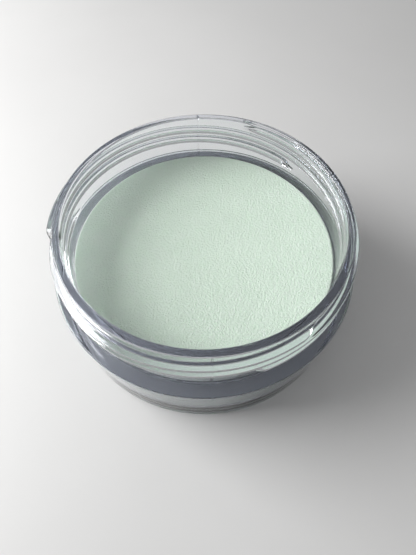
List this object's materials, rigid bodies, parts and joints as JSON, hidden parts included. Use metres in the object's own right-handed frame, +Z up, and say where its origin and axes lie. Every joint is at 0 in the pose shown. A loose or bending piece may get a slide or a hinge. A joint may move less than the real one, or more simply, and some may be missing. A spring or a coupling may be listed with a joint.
{
  "type": "shaving soap puck",
  "caption": "Round mint-green shaving soap puck lying loose in a low, clear plastic screw-neck jar, open and without its lid.",
  "frame": {"origin": "centre of the jar's foot, at the height of the table it stands on", "axes": "+Z up along the jar's axis, +Y away from the viewer of the picture and 3 degrees from one of the neck's two mould split lines, +X to that viewer's right"},
  "size_m": [0.0882, 0.0886, 0.038],
  "materials": {
    "jar_clear": "clear, polished, faintly grey-green polystyrene",
    "soap_mint": "matte mint-green milled soap with a fine grain"
  },
  "bodies": {
    "jar": {"jar": "jar_clear"},
    "soap": {"soap_puck": "soap_mint"}
  },
  "joints": [
    {"name": "soap_lift", "type": "slide", "parent": "jar", "child": "soap", "axis": [0, 0, 1], "range_m": [0, 0.045]}
  ]
}
